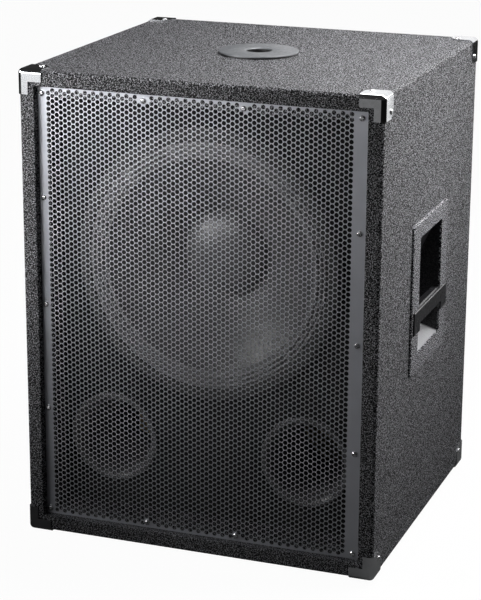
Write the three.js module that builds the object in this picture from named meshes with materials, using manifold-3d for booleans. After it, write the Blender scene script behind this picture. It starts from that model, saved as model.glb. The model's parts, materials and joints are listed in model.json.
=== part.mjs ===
// Subwoofer cabinet: a ported box with one 15 inch driver, a perforated grille, bar handles, metal corners,
// a pole socket on top and a connector dish at the back.
// Millimetres, +Z up. The front faces -Y. The origin is on the floor, under the middle of the cabinet.

import * as THREE from 'three';
import { mergeVertices } from 'three/addons/utils/BufferGeometryUtils.js';
import { RoundedBoxGeometry } from 'three/addons/geometries/RoundedBoxGeometry.js';
import Module from 'manifold-3d';

const wasm = await Module();
wasm.setup();

// ---- driving dimensions -------------------------------------------------------------------------------
const WIDTH = 520;
const DEPTH = 490;
const HEIGHT = 675;
const FOOT_HEIGHT = 12;
const PANEL = 22;                 // top, bottom and side boards
const INNER_BOARD = 18;           // back board, baffle and brace
const EDGE_RADIUS = 5;
const GAP = 0.3;                  // between a cut piece and the piece that cut it

const GRILLE_RECESS = 12;
const GRILLE_THICKNESS = 1.2;
const BAFFLE_RECESS = 50;
const BATTEN = 16;
const BACK_RECESS = 3;            // leaves the connector dish's flange flush with the cabinet's back edges

const DRIVER_HEIGHT = 410;        // driver axis above the cabinet's underside
const DRIVER_RADIUS = 194;        // outside of the frame ring
const PORT_HEIGHT = 140;
const PORT_SPREAD = 145;          // port axis from the cabinet's middle
const PORT_BORE_RADIUS = 52;
const PORT_LENGTH = 150;

const HANDLE_HEIGHT = 350;        // level the handle is drawn from, above the underside
const CORNER_PLATE = 34;
const POLE_RADIUS = 18;           // bore for a 35 mm pole

const ROUND = 32;                 // segments of a large turned piece
const SMALL_ROUND = 16;

// ---- planes worked out from them ----------------------------------------------------------------------
const HALF_WIDTH = WIDTH / 2;
const FRONT = -DEPTH / 2;
const BACK = DEPTH / 2;
const BASE = FOOT_HEIGHT;
const TOP = BASE + HEIGHT;
const INNER_X = HALF_WIDTH - PANEL;
const INNER_BASE = BASE + PANEL;
const INNER_TOP = TOP - PANEL;
const BAFFLE_FRONT = FRONT + BAFFLE_RECESS;
const BAFFLE_BACK = BAFFLE_FRONT + INNER_BOARD;
const BACK_BOARD_REAR = BACK - BACK_RECESS;
const BACK_BOARD_FRONT = BACK_BOARD_REAR - INNER_BOARD;
const GRILLE_FRONT = FRONT + GRILLE_RECESS;
const GRILLE_BACK = GRILLE_FRONT + GRILLE_THICKNESS;
const DRIVER_Z = BASE + DRIVER_HEIGHT;
const PORT_Z = BASE + PORT_HEIGHT;
const HANDLE_Z = BASE + HANDLE_HEIGHT;

// ---- materials ----------------------------------------------------------------------------------------
const makeMaterial = (color, roughness, metalness) =>
  new THREE.MeshStandardMaterial({ color, roughness, metalness });
const paint = makeMaterial(0x2b2c30, 0.8, 0);
const bareWood = makeMaterial(0xb89468, 0.85, 0);
const grilleSteel = makeMaterial(0x4a4a4c, 0.45, 0.6);
const bright = makeMaterial(0xd5d6d8, 0.2, 1);
const greySteel = makeMaterial(0x8d9096, 0.45, 0.7);
const blackSteel = makeMaterial(0x1c1c1e, 0.5, 0.5);
const paper = makeMaterial(0x242426, 0.85, 0);
const cloth = makeMaterial(0x1d1d1f, 0.9, 0);
const ferrite = makeMaterial(0x3a3a3c, 0.7, 0.1);
const copper = makeMaterial(0xb5703c, 0.4, 0.8);
const plastic = makeMaterial(0x17181a, 0.55, 0);
const rubber = makeMaterial(0x141414, 0.9, 0);
const wool = makeMaterial(0xd8d4c8, 1, 0);

// ---- closed meshes and booleans -----------------------------------------------------------------------
// Lays down a shape drawn in x-y and raised along z, so that it is drawn in x-z and runs in +y.
const DRAWN_XZ = new THREE.Matrix4().set(1, 0, 0, 0, 0, 0, 1, 0, 0, 1, 0, 0, 0, 0, 0, 1);
// A piece turned about y, stood up on z.
const TURNED_UP = new THREE.Matrix4().set(1, 0, 0, 0, 0, 0, -1, 0, 0, 1, 0, 0, 0, 0, 0, 1);

function signedVolume(points, indices) {
  const [a, b, c] = [new THREE.Vector3(), new THREE.Vector3(), new THREE.Vector3()];
  let volume = 0;
  for (let i = 0; i < indices.length; i += 3) {
    a.fromArray(points, 3 * indices[i]);
    b.fromArray(points, 3 * indices[i + 1]);
    c.fromArray(points, 3 * indices[i + 2]);
    volume += a.dot(b.cross(c));
  }
  return volume;
}

// One closed body with shared vertices, no collapsed triangles and its faces pointing out.
function closed(geometry) {
  const source = geometry.clone();
  source.deleteAttribute('normal');
  source.deleteAttribute('uv');
  const merged = mergeVertices(source, 1e-3);
  const points = merged.getAttribute('position').array;
  const indices = [];
  for (let i = 0; i < merged.index.count; i += 3) {
    const [a, b, c] = [0, 1, 2].map((k) => merged.index.getX(i + k));
    if (a !== b && b !== c && c !== a) indices.push(a, b, c);
  }
  if (signedVolume(points, indices) < 0) indices.reverse();
  const result = new THREE.BufferGeometry();
  result.setAttribute('position', new THREE.Float32BufferAttribute(points, 3));
  result.setIndex(indices);
  return result;
}

function toManifold(geometry) {
  const shape = closed(geometry);
  return new wasm.Manifold(new wasm.Mesh({
    numProp: 3,
    vertProperties: new Float32Array(shape.getAttribute('position').array),
    triVerts: new Uint32Array(shape.index.array),
  }));
}

function fromManifold(manifold) {
  const mesh = manifold.getMesh();
  const geometry = new THREE.BufferGeometry();
  geometry.setAttribute('position', new THREE.Float32BufferAttribute(mesh.vertProperties, 3));
  geometry.setIndex(Array.from(mesh.triVerts));
  return geometry;
}

function join(first, ...others) {
  const start = toManifold(first);
  return fromManifold(others.reduce((sum, other) => sum.add(toManifold(other)), start));
}

function cut(body, ...tools) {
  const start = toManifold(body);
  return fromManifold(tools.reduce((rest, tool) => rest.subtract(toManifold(tool)), start));
}

function common(first, second) {
  return fromManifold(toManifold(first).intersect(toManifold(second)));
}

// ---- basic shapes -------------------------------------------------------------------------------------
function block(x0, x1, y0, y1, z0, z1) {
  const box = new THREE.BoxGeometry(x1 - x0, y1 - y0, z1 - z0);
  return box.translate((x0 + x1) / 2, (y0 + y1) / 2, (z0 + z1) / 2);
}

// A ring turned about the y axis from a closed outline of [radius, y] points.
function turned(outline, segments = ROUND) {
  const points = outline.map(([radius, y]) => new THREE.Vector2(radius, y));
  const onAxis = outline[0][0] === 0 && outline[outline.length - 1][0] === 0;
  if (!onAxis) points.push(points[0].clone());
  return closed(new THREE.LatheGeometry(points, segments));
}

const turnedUp = (outline, segments) => turned(outline, segments).applyMatrix4(TURNED_UP);

function rod(radius, y0, y1, segments = SMALL_ROUND) {
  return turned([[0, y0], [radius, y0], [radius, y1], [0, y1]], segments);
}

function extruded(points, length, matrix) {
  const shape = new THREE.Shape(points.map(([u, v]) => new THREE.Vector2(u, v)));
  const solid = new THREE.ExtrudeGeometry(shape, { depth: length, bevelEnabled: false });
  return closed(solid.applyMatrix4(matrix));
}

// Mirrored copy across the plane x = 0.
function mirroredX(geometry) {
  return closed(geometry.clone().applyMatrix4(new THREE.Matrix4().makeScale(-1, 1, 1)));
}

// ---- assembly -----------------------------------------------------------------------------------------
const cabinet = new THREE.Group();
const movingCone = new THREE.Group();
cabinet.add(movingCone);

function add(name, geometry, material, group = cabinet) {
  const flat = closed(geometry).toNonIndexed();
  flat.computeVertexNormals();
  const mesh = new THREE.Mesh(flat, material);
  mesh.name = name;
  group.add(mesh);
  return mesh;
}

// The whole box with its rounded outside edges, grown outwards by an amount.
function roundedCabinet(grow) {
  const size = 2 * grow;
  const box = new RoundedBoxGeometry(WIDTH + size, DEPTH + size, HEIGHT + size, 2, EDGE_RADIUS + grow);
  return box.translate(0, 0, (BASE + TOP) / 2);
}

// ---- handle: an opening in the side board, a dish with a flange, and a grip bar -----------------------
const HANDLE = {
  flangeHalf: 91,                 // half width of the flange, along y
  flangeUp: 115,
  flangeDown: 106,
  flangeThick: 3.5,
  openHalf: 58,
  openUp: 92,
  openDown: 79,
  wall: 3,
  lip: 5,                         // depth at which the sloped back wall starts
  deep: 63,
  rise: 20,                       // of the dish floor from the opening to its inner end
  shelf: 42,                      // height of the sloped back wall's foot above the opening's lower edge
};

// The dish's side outline, drawn as [outward x from the board's face, z], grown by a wall thickness.
function dishOutline(wall, outer) {
  const { openUp, openDown, lip, deep, rise, shelf } = HANDLE;
  const top = HANDLE_Z + openUp + wall;
  const floor = HANDLE_Z - openDown - wall;
  return [
    [0, floor], [outer, floor], [outer, top], [-lip - wall, top],
    [-deep - wall, floor + shelf + wall], [-deep - wall, floor + rise],
  ];
}

function dishSolid(wall, outer) {
  const half = HANDLE.openHalf + wall;
  const solid = extruded(dishOutline(wall, outer), 2 * half, DRAWN_XZ);
  return solid.translate(HALF_WIDTH, -half, 0);
}

function handleCup() {
  const { flangeHalf, flangeUp, flangeDown, flangeThick, wall } = HANDLE;
  const face = HALF_WIDTH + flangeThick;
  const flange = block(HALF_WIDTH, face, -flangeHalf, flangeHalf, HANDLE_Z - flangeDown, HANDLE_Z + flangeUp);
  return cut(join(flange, dishSolid(wall, flangeThick)), dishSolid(0, 2 * flangeThick));
}

function handleBar() {
  const padThick = 2.5;
  const padHalf = 86;
  const padHigh = 34;
  const gripHigh = 23;            // the grip is level with the tops of the pads
  const gripDepth = 14;
  const below = 11;               // of the tops of the pads under the level the handle is drawn from
  const high = HANDLE_Z - below;
  const low = high - gripHigh;
  const edge = 4;
  const face = HALF_WIDTH + HANDLE.flangeThick;
  const front = face + padThick;
  const inner = face - gripDepth;
  const pads = block(face, front, -padHalf, padHalf, high - padHigh, high);
  const outline = [
    [face, low], [front, low + edge / 2], [front, high - edge / 2], [face, high],
    [inner + edge, high], [inner, high - edge], [inner, low + edge], [inner + edge, low],
  ];
  const gripHalf = HANDLE.openHalf - GAP;
  const grip = extruded(outline, 2 * gripHalf, DRAWN_XZ).translate(0, -gripHalf, 0);
  return join(pads, grip);
}

function addHandles() {
  const cup = handleCup();
  const bar = handleBar();
  add('handle_cup_right', cup, paint);
  add('handle_cup_left', mirroredX(cup), paint);
  add('handle_bar_right', bar, plastic);
  add('handle_bar_left', mirroredX(bar), plastic);
}

// ---- pole socket --------------------------------------------------------------------------------------
const POLE = { plateRadius: 57.5, plateThick: 4, edge: 1, tubeRadius: 21, depth: 90, floor: 3, chamfer: 2 };

function addPoleSocket() {
  const { plateRadius, plateThick, edge, tubeRadius, depth, floor, chamfer } = POLE;
  const face = TOP + plateThick;
  const bottom = TOP - depth;
  add('pole_socket', turnedUp([
    [0, bottom], [tubeRadius, bottom], [tubeRadius, TOP], [plateRadius, TOP], [plateRadius, face - edge],
    [plateRadius - edge, face], [POLE_RADIUS + chamfer, face], [POLE_RADIUS, face - chamfer],
    [POLE_RADIUS, bottom + floor], [0, bottom + floor],
  ], ROUND), greySteel);
}

// ---- rear connector dish ------------------------------------------------------------------------------
const DISH = {
  halfWidth: 70,
  halfHeight: 50,
  z: BASE + 200,
  flange: BACK_RECESS,
  border: 14,
  depth: 26,
  wall: 3,
  socketSpread: 30,
  socketRadius: 12,
};

function connectorDish() {
  const { halfWidth, halfHeight, z, flange, border, depth, wall, socketSpread, socketRadius } = DISH;
  const box = (grow, y0, y1) =>
    block(-halfWidth - grow, halfWidth + grow, y0, y1, z - halfHeight - grow, z + halfHeight + grow);
  const rear = BACK_BOARD_REAR;
  const plate = box(0, rear, rear + flange);
  const shell = join(plate, box(-border + wall, rear - depth - wall, rear + flange / 2));
  const hollow = box(-border, rear - depth, rear + 2 * flange);
  const socketHole = (x) => rod(socketRadius, rear - depth - 2 * wall, rear).translate(x, 0, z);
  return cut(shell, hollow, socketHole(-socketSpread), socketHole(socketSpread));
}

// A twist-lock speaker socket: a round body through the dish, a square flange and a ring-shaped mouth.
function twistSocket(x) {
  const floor = BACK_BOARD_REAR - DISH.depth;
  const half = 13;
  const flangeThick = 3;
  const front = floor - 22;       // end of the body inside the cabinet
  const rear = floor + 6;
  const [pin, ring] = [5, 9];     // radii of the mouth
  const mouthEnd = floor - 12;
  const flange = block(-half, half, floor, floor + flangeThick, -half, half);
  const body = rod(DISH.socketRadius - 2 * GAP, front, rear);
  const mouth = turned([[pin, mouthEnd], [ring, mouthEnd], [ring, rear + 2], [pin, rear + 2]], SMALL_ROUND);
  return cut(join(flange, body), mouth).translate(x, 0, DISH.z);
}

function addConnectors() {
  add('connector_dish', connectorDish(), plastic);
  add('speaker_socket_1', twistSocket(-DISH.socketSpread), plastic);
  add('speaker_socket_2', twistSocket(DISH.socketSpread), plastic);
}

// ---- cabinet boards -----------------------------------------------------------------------------------
function addBoards() {
  const outside = roundedCabinet(0);
  const reach = 10;
  const right = HALF_WIDTH + reach;
  const board = (left, low, high) =>
    common(outside, block(left, right, FRONT - reach, BACK + reach, low, high));
  const poleHole = rod(POLE.tubeRadius + 1, INNER_TOP - reach, TOP + reach, ROUND);
  const sideBoard = board(INNER_X, INNER_BASE, INNER_TOP);
  const drilledSide = cut(sideBoard, dishSolid(HANDLE.wall + GAP, HANDLE.flangeThick));
  add('bottom_panel', board(-right, BASE - reach, INNER_BASE), paint);
  add('top_panel', cut(board(-right, INNER_TOP, TOP + reach), poleHole.applyMatrix4(TURNED_UP)), paint);
  add('right_panel', drilledSide, paint);
  add('left_panel', mirroredX(drilledSide), paint);

  const { halfWidth, halfHeight, z, border, wall } = DISH;
  const clear = wall + GAP - border;
  const [holeHalf, holeUp] = [halfWidth + clear, halfHeight + clear];
  const dishHole = block(-holeHalf, holeHalf, 0, BACK + reach, z - holeUp, z + holeUp);
  const backBoard = block(-INNER_X, INNER_X, BACK_BOARD_FRONT, BACK_BOARD_REAR, INNER_BASE, INNER_TOP);
  add('back_panel', cut(backBoard, dishHole), paint);
}

function addBaffle() {
  const driverSeat = 18;          // width of the frame ring's seat round the driver's hole
  const portShoulder = 8;         // of the port hole round the port's bore
  const hole = (radius, x, z) => rod(radius, BAFFLE_FRONT - 1, BAFFLE_BACK + 1, ROUND).translate(x, 0, z);
  const driverHole = hole(DRIVER_RADIUS - driverSeat, 0, DRIVER_Z);
  const portHoles = [-PORT_SPREAD, PORT_SPREAD].map((x) => hole(PORT_BORE_RADIUS + portShoulder, x, PORT_Z));
  const board = block(-INNER_X, INNER_X, BAFFLE_FRONT, BAFFLE_BACK, INNER_BASE, INNER_TOP);
  add('baffle_board', cut(board, driverHole, ...portHoles), paint);
}

// A window brace behind the driver, and the battens between the baffle and the grille.
function addBraceAndBattens() {
  const braceFront = 110;
  const rim = 50;
  const brace = block(-INNER_X, INNER_X, braceFront, braceFront + INNER_BOARD, INNER_BASE, INNER_TOP);
  const window = block(-INNER_X + rim, INNER_X - rim, braceFront - 1, braceFront + INNER_BOARD + 1,
    INNER_BASE + rim, INNER_TOP - rim);
  add('window_brace', cut(brace, window), bareWood);

  const side = block(INNER_X - BATTEN, INNER_X, GRILLE_BACK, BAFFLE_FRONT, INNER_BASE, INNER_TOP);
  const reach = INNER_X - BATTEN;
  const level = (low) => block(-reach, reach, GRILLE_BACK, BAFFLE_FRONT, low, low + BATTEN);
  add('batten_right', drilledForScrews(side), paint);
  add('batten_left', drilledForScrews(mirroredX(side)), paint);
  add('batten_bottom', drilledForScrews(level(INNER_BASE)), paint);
  add('batten_top', drilledForScrews(level(INNER_TOP - BATTEN)), paint);
}

// ---- grille and its screws ----------------------------------------------------------------------------
const SCREW = {
  headRadius: 4.2,
  headHeight: 2.6,
  shankRadius: 1.8,
  length: 16,
  segments: 10,
  holeSegments: 8,
};
const SCREW_INSET = { left: 6, right: 11, top: 11, bottom: 8 };   // from the inside of the frame

// The screw places, [x, z]. The rows step up from the bottom on the left and down from the top on the right.
function screwPlaces() {
  const step = 155;
  const perSide = 4;              // and one more at the row's far end
  const left = -INNER_X + SCREW_INSET.left;
  const right = INNER_X - SCREW_INSET.right;
  const low = INNER_BASE + SCREW_INSET.bottom;
  const high = INNER_TOP - SCREW_INSET.top;
  const places = [[left, high], [right, low]];
  for (let i = 0; i < perSide; i += 1) {
    places.push([left, low + i * step], [right, high - i * step]);
  }
  places.push([-81, high], [63, high], [-80, low], [55, low]);
  return places;
}

function screwHole([x, z]) {
  const radius = SCREW.shankRadius + GAP;
  const start = GRILLE_FRONT - 5;
  const end = GRILLE_BACK + SCREW.length + 1;
  return rod(radius, start, end, SCREW.holeSegments).translate(x, 0, z);
}

function drilledForScrews(geometry) {
  return cut(geometry, ...screwPlaces().map(screwHole));
}

function addGrille() {
  const clear = 0.5;
  const half = INNER_X - clear;
  const sheet = block(-half, half, GRILLE_FRONT, GRILLE_BACK, INNER_BASE + clear, INNER_TOP - clear);
  add('grille', drilledForScrews(sheet), grilleSteel);
  const { headRadius, headHeight, shankRadius, length, segments } = SCREW;
  const crown = 0.6;              // share of the head that its flat top keeps, and of its height that slopes
  const head = GRILLE_FRONT - headHeight;
  const outline = [
    [0, head], [headRadius * crown, head],
    [headRadius, head + headHeight * crown], [headRadius, GRILLE_FRONT],
    [shankRadius, GRILLE_FRONT], [shankRadius, GRILLE_BACK + length], [0, GRILLE_BACK + length],
  ];
  screwPlaces().forEach(([x, z], index) => {
    add(`grille_screw_${index + 1}`, turned(outline, segments).translate(x, 0, z), bright);
  });
}

// ---- driver -------------------------------------------------------------------------------------------
// Outlines are [radius, y], turned about the driver's axis. The baffle's front face is the driver's seat.
const DRIVER = {
  flangeThick: 5,
  flangeInner: 171.5,
  wall: 3.5,
  topPlateFront: BAFFLE_FRONT + 125,
  plateThick: 10,
  magnetThick: 20,
  magnetRadius: 95,
  coilRadius: 50,
  surroundThick: 1.2,
  coneEdge: 155,
  coneNeckY: BAFFLE_FRONT + 82,
  coneEdgeY: BAFFLE_FRONT - 2,
  capRadius: 63,
};
const SPIDER_Y = BAFFLE_FRONT + 100;
const FLANGE_FRONT = BAFFLE_FRONT - DRIVER.flangeThick;

function basket() {
  const { flangeInner, wall, topPlateFront } = DRIVER;
  const throat = 98;              // wall's inner radius where it meets the spider shelf
  const inner = throat - 6;       // of the drum between that shelf and the magnet
  const shelf = 80;
  const shelfY = SPIDER_Y + 1.5;
  const seat = 56;
  const collar = BAFFLE_BACK + 4; // end of the straight wall inside the baffle's hole
  const body = turned([
    [DRIVER_RADIUS, FLANGE_FRONT], [DRIVER_RADIUS, BAFFLE_FRONT], [flangeInner + wall, BAFFLE_FRONT],
    [flangeInner + wall, collar], [throat + wall, shelfY], [throat + wall, topPlateFront],
    [seat, topPlateFront], [seat, topPlateFront - wall], [inner, topPlateFront - wall],
    [inner, shelfY + wall], [shelf, shelfY + wall], [shelf, shelfY], [throat, shelfY],
    [flangeInner, collar], [flangeInner, FLANGE_FRONT],
  ]);
  const windows = 6;
  const start = collar + 2;
  const end = SPIDER_Y - 8;
  const [near, far] = [104, 185]; // radii between which a window opens
  const [narrow, wide] = [34, 66]; // half widths of a window there
  const corners = [[near, -narrow], [far, -wide], [far, wide], [near, narrow]];
  const opening = extruded(corners, end - start, DRAWN_XZ).translate(0, start, 0);
  const openings = [];
  for (let i = 0; i < windows; i += 1) {
    openings.push(opening.clone().rotateY((i + 0.5) * 2 * Math.PI / windows));
  }
  return cut(body, ...openings);
}

// A thin pleated ring: [radius, y] points of its front, thickened by an amount in +y.
function pleated(front, thickness) {
  const rear = front.map(([radius, y]) => [radius, y + thickness]).reverse();
  return turned([...front, ...rear]);
}

function surroundFront() {
  const { coneEdge, surroundThick } = DRIVER;
  const rolls = 3;
  const start = coneEdge + 1;
  const end = DRIVER.flangeInner + 3;
  const seatY = FLANGE_FRONT - surroundThick;
  const edgeY = DRIVER.coneEdgeY - surroundThick - GAP;
  const height = 4;
  const points = [[coneEdge - 3, edgeY]];
  for (let i = 0; i <= 2 * rolls; i += 1) {
    const along = i / (2 * rolls);
    const lift = height * Math.abs(Math.sin(along * rolls * Math.PI));
    points.push([start + along * (end - start), edgeY + along * (seatY - edgeY) - lift]);
  }
  points.push([DRIVER_RADIUS - 5, seatY]);
  return points;
}

function spiderFront() {
  const waves = 3;
  const height = 3;
  const neck = DRIVER.coilRadius + 1.6;
  const start = neck + 1.4;
  const end = 92;
  const flat = 6;                 // width of the glued outer edge
  const points = [[neck, SPIDER_Y]];
  for (let i = 1; i < 2 * waves; i += 1) {
    const radius = start + (i / (2 * waves)) * (end - flat - start);
    points.push([radius, SPIDER_Y + (i % 2 ? -height : 0)]);
  }
  points.push([end - flat + 1, SPIDER_Y], [end, SPIDER_Y]);
  return points;
}

const CONE_NECK = DRIVER.coilRadius + 1.5;
const CONE_RIM = DRIVER.coneEdge - 4;   // where the cone's curved side turns into its flat lip

// The cone's front surface at a radius: a straight side that bows forwards.
function coneY(radius) {
  const { coneEdgeY, coneNeckY } = DRIVER;
  const bow = 3;
  const along = (radius - CONE_NECK) / (CONE_RIM - CONE_NECK);
  return coneNeckY + along * (coneEdgeY - coneNeckY) - bow * Math.sin(along * Math.PI);
}

function cone() {
  const thick = 1.4;
  const steps = 5;
  const front = [];
  for (let i = 0; i <= steps; i += 1) {
    const radius = CONE_NECK + (i / steps) * (CONE_RIM - CONE_NECK);
    front.push([radius, coneY(radius)]);
  }
  front.push([DRIVER.coneEdge, DRIVER.coneEdgeY]);
  return pleated(front, thick);
}

function dustCap() {
  const radius = DRIVER.capRadius;
  const clear = 1.5;              // of the rim off the cone
  const rim = coneY(radius) - clear;
  const height = 20;
  const thick = 1.2;
  const steps = 5;
  const front = [];
  for (let i = 0; i <= steps; i += 1) {
    const angle = (i / steps) * Math.PI / 2;
    front.push([radius * Math.sin(angle), rim - height * Math.cos(angle)]);
  }
  const rear = front.map(([r, y]) => [Math.max(0, r - thick), y + thick]).reverse();
  return turned([...front, ...rear]);
}

function voiceCoil() {
  const { coilRadius, topPlateFront, plateThick, coneNeckY } = DRIVER;
  const former = coilRadius + 0.8;
  const winding = former + 1;
  const middle = topPlateFront + plateThick / 2;
  const halfWinding = 9;
  const start = coneNeckY - 4;
  const end = middle + halfWinding + 2;
  return turned([
    [coilRadius, start], [former, start], [former, middle - halfWinding],
    [winding, middle - halfWinding], [winding, middle + halfWinding], [former, middle + halfWinding],
    [former, end], [coilRadius, end],
  ]);
}

function addDriver() {
  const { topPlateFront, plateThick, magnetThick, magnetRadius, coilRadius, surroundThick } = DRIVER;
  const place = (geometry) => geometry.translate(0, 0, DRIVER_Z);
  const ring = (inner, outer, y0, y1) => turned([[inner, y0], [outer, y0], [outer, y1], [inner, y1]]);
  const gapRadius = coilRadius + 2.8;
  const magnetHole = gapRadius + 6;
  const plateRadius = magnetRadius - 3;
  const poleRadius = coilRadius - 1;
  const plateBack = topPlateFront + plateThick;
  const magnetBack = plateBack + magnetThick;
  const backPlate = magnetBack + 12;
  const vent = 16;
  const gasketThick = 4;
  const gasketBack = FLANGE_FRONT - surroundThick;
  const gasket = ring(DRIVER.flangeInner + 5, DRIVER_RADIUS - 4, gasketBack - gasketThick, gasketBack);
  const spiderThick = 1;

  add('driver_basket', place(basket()), blackSteel);
  add('driver_gasket', place(gasket), rubber);
  add('driver_surround', place(pleated(surroundFront(), surroundThick)), cloth);
  add('driver_spider', place(pleated(spiderFront(), spiderThick)), cloth);
  add('driver_top_plate', place(ring(gapRadius, plateRadius, topPlateFront, plateBack)), greySteel);
  add('driver_magnet', place(ring(magnetHole, magnetRadius, plateBack, magnetBack)), ferrite);
  add('driver_back_plate', place(turned([
    [vent, topPlateFront], [poleRadius, topPlateFront], [poleRadius, magnetBack],
    [plateRadius, magnetBack], [plateRadius, backPlate], [vent, backPlate],
  ])), greySteel);
  add('driver_cone', place(cone()), paper, movingCone);
  add('driver_dust_cap', place(dustCap()), paper, movingCone);
  add('driver_voice_coil', place(voiceCoil()), copper, movingCone);
}

// ---- ports --------------------------------------------------------------------------------------------
function addPorts() {
  const flare = 14;               // how far the rim stands out from the bore
  const flareDeep = 18;
  const rim = PORT_BORE_RADIUS + flare;
  const outside = PORT_BORE_RADIUS + 3;
  const shoulder = outside + 4.5;
  const edge = 2;
  const face = BAFFLE_FRONT - 4;
  const end = BAFFLE_FRONT + PORT_LENGTH;
  const inside = [];
  const steps = 4;
  for (let i = 0; i <= steps; i += 1) {
    const angle = (i / steps) * Math.PI / 2;
    const radius = PORT_BORE_RADIUS + (flare - edge) * (1 - Math.sin(angle));
    inside.push([radius, face + flareDeep * (1 - Math.cos(angle))]);
  }
  const outline = [
    ...inside, [PORT_BORE_RADIUS, end], [outside, end], [outside, face + flareDeep],
    [shoulder, BAFFLE_FRONT], [rim, BAFFLE_FRONT], [rim, face + edge],
  ];
  add('port_tube_left', turned(outline).translate(-PORT_SPREAD, 0, PORT_Z), plastic);
  add('port_tube_right', turned(outline).translate(PORT_SPREAD, 0, PORT_Z), plastic);
}

// ---- corner protectors --------------------------------------------------------------------------------
// One front top right corner, mirrored to the other seven: a shell over the rounded corner, kept where
// one of its three plates lies. The front plate is an L as narrow as the board's edge.
function addCorners() {
  const thick = 1.5;
  const shell = cut(roundedCabinet(GAP + thick), roundedCabinet(GAP));
  const reach = 4;
  const wrap = 7;                 // how far a plate wraps round the cabinet's edge
  const armHigh = 16;
  const armWide = 14;
  const right = HALF_WIDTH + reach;
  const front = FRONT - reach;
  const top = TOP + reach;
  const plates = join(
    block(HALF_WIDTH - CORNER_PLATE, right, front, FRONT + CORNER_PLATE, TOP - wrap, top),
    block(HALF_WIDTH - wrap, right, front, FRONT + CORNER_PLATE, TOP - CORNER_PLATE, top),
    block(HALF_WIDTH - CORNER_PLATE, right, front, FRONT + wrap, TOP - armHigh, top),
    block(HALF_WIDTH - armWide, right, front, FRONT + wrap, TOP - CORNER_PLATE, top),
  );
  const corner = common(shell, plates);
  const middle = (BASE + TOP) / 2;
  const centred = corner.translate(0, 0, -middle);
  for (const [sideName, sx] of [['left', -1], ['right', 1]]) {
    for (const [depthName, sy] of [['front', 1], ['back', -1]]) {
      for (const [heightName, sz] of [['bottom', -1], ['top', 1]]) {
        const copy = centred.clone().applyMatrix4(new THREE.Matrix4().makeScale(sx, sy, sz));
        add(`corner_${depthName}_${heightName}_${sideName}`, copy.translate(0, 0, middle), bright);
      }
    }
  }
}

// ---- feet, wadding and cable --------------------------------------------------------------------------
function addFeet() {
  const inset = 55;
  const [tread, seat] = [17, 20]; // radii at the floor and under the cabinet
  const outline = [[0, 0], [tread, 0], [seat, FOOT_HEIGHT], [0, FOOT_HEIGHT]];
  for (const [sideName, x] of [['left', -HALF_WIDTH + inset], ['right', HALF_WIDTH - inset]]) {
    for (const [depthName, y] of [['front', FRONT + inset], ['back', BACK - inset]]) {
      add(`foot_${depthName}_${sideName}`, turnedUp(outline, SMALL_ROUND).translate(x, y, 0), rubber);
    }
  }
}

function addWadding() {
  const thick = 30;
  const half = 200;
  const rear = BACK_BOARD_FRONT - GAP;
  const [low, high] = [DISH.z + 90, INNER_TOP - 30];
  add('wadding', block(-half, half, rear - thick, rear, low, high), wool);
}

// From the connector dish to the driver's frame, drooping on the way.
function addCable() {
  const radius = 3.5;
  const start = BACK_BOARD_REAR - DISH.depth - DISH.wall - 1;
  const places = [
    [start, DISH.z], [170, DISH.z - 12], [80, DISH.z - 30], [-20, DISH.z + 10], [-85, DRIVER_Z - 108],
  ];
  const path = new THREE.CatmullRomCurve3(places.map(([y, z]) => new THREE.Vector3(0, y, z)));
  const circle = new THREE.Shape();
  circle.absarc(0, 0, radius, 0, 2 * Math.PI);
  const options = { extrudePath: path, steps: 14, curveSegments: 4, bevelEnabled: false };
  add('speaker_cable', new THREE.ExtrudeGeometry(circle, options), rubber);
}

addBoards();
addBaffle();
addBraceAndBattens();
addDriver();
addPorts();
addGrille();
addHandles();
addPoleSocket();
addConnectors();
addCorners();
addFeet();
addWadding();
addCable();

export default cabinet;
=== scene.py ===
"""The looks of a subwoofer cabinet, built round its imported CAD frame. Metres, +Z up, the front faces -Y."""

import json
import math
from contextlib import contextmanager

import bmesh
import bpy
from mathutils import Matrix, Vector
from mathutils.geometry import delaunay_2d_cdt


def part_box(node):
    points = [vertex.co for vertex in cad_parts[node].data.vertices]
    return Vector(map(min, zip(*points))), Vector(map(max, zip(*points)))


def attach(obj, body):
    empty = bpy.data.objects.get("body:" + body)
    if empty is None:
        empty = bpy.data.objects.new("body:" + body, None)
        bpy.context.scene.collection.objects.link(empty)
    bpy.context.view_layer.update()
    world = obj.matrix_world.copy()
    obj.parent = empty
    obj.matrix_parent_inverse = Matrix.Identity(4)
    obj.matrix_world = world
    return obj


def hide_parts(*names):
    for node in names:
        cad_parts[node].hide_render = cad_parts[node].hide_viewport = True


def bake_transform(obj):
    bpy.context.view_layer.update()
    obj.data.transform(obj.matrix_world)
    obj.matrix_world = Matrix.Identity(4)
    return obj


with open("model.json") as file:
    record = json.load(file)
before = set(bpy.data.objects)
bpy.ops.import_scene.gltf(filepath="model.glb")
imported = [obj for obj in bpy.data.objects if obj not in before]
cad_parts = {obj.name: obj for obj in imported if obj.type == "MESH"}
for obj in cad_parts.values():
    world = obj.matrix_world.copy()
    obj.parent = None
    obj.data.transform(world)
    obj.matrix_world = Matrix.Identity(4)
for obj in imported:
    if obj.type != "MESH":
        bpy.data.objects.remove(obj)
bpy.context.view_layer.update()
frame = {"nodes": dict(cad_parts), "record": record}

NODES = frame["nodes"]
BODY_OF = {node: body for body, members in frame["record"]["behaviour"]["bodies"].items() for node in members}
SLOT_OF = {part["node"]: part["material_slot"] for part in frame["record"]["subparts"]}
MM = 0.001
SIDES = (("left", -1), ("right", 1))
STRIPE_AT_SCALE_ONE = 0.16       # metres across one stripe of a wave texture whose scale is 1

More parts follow.
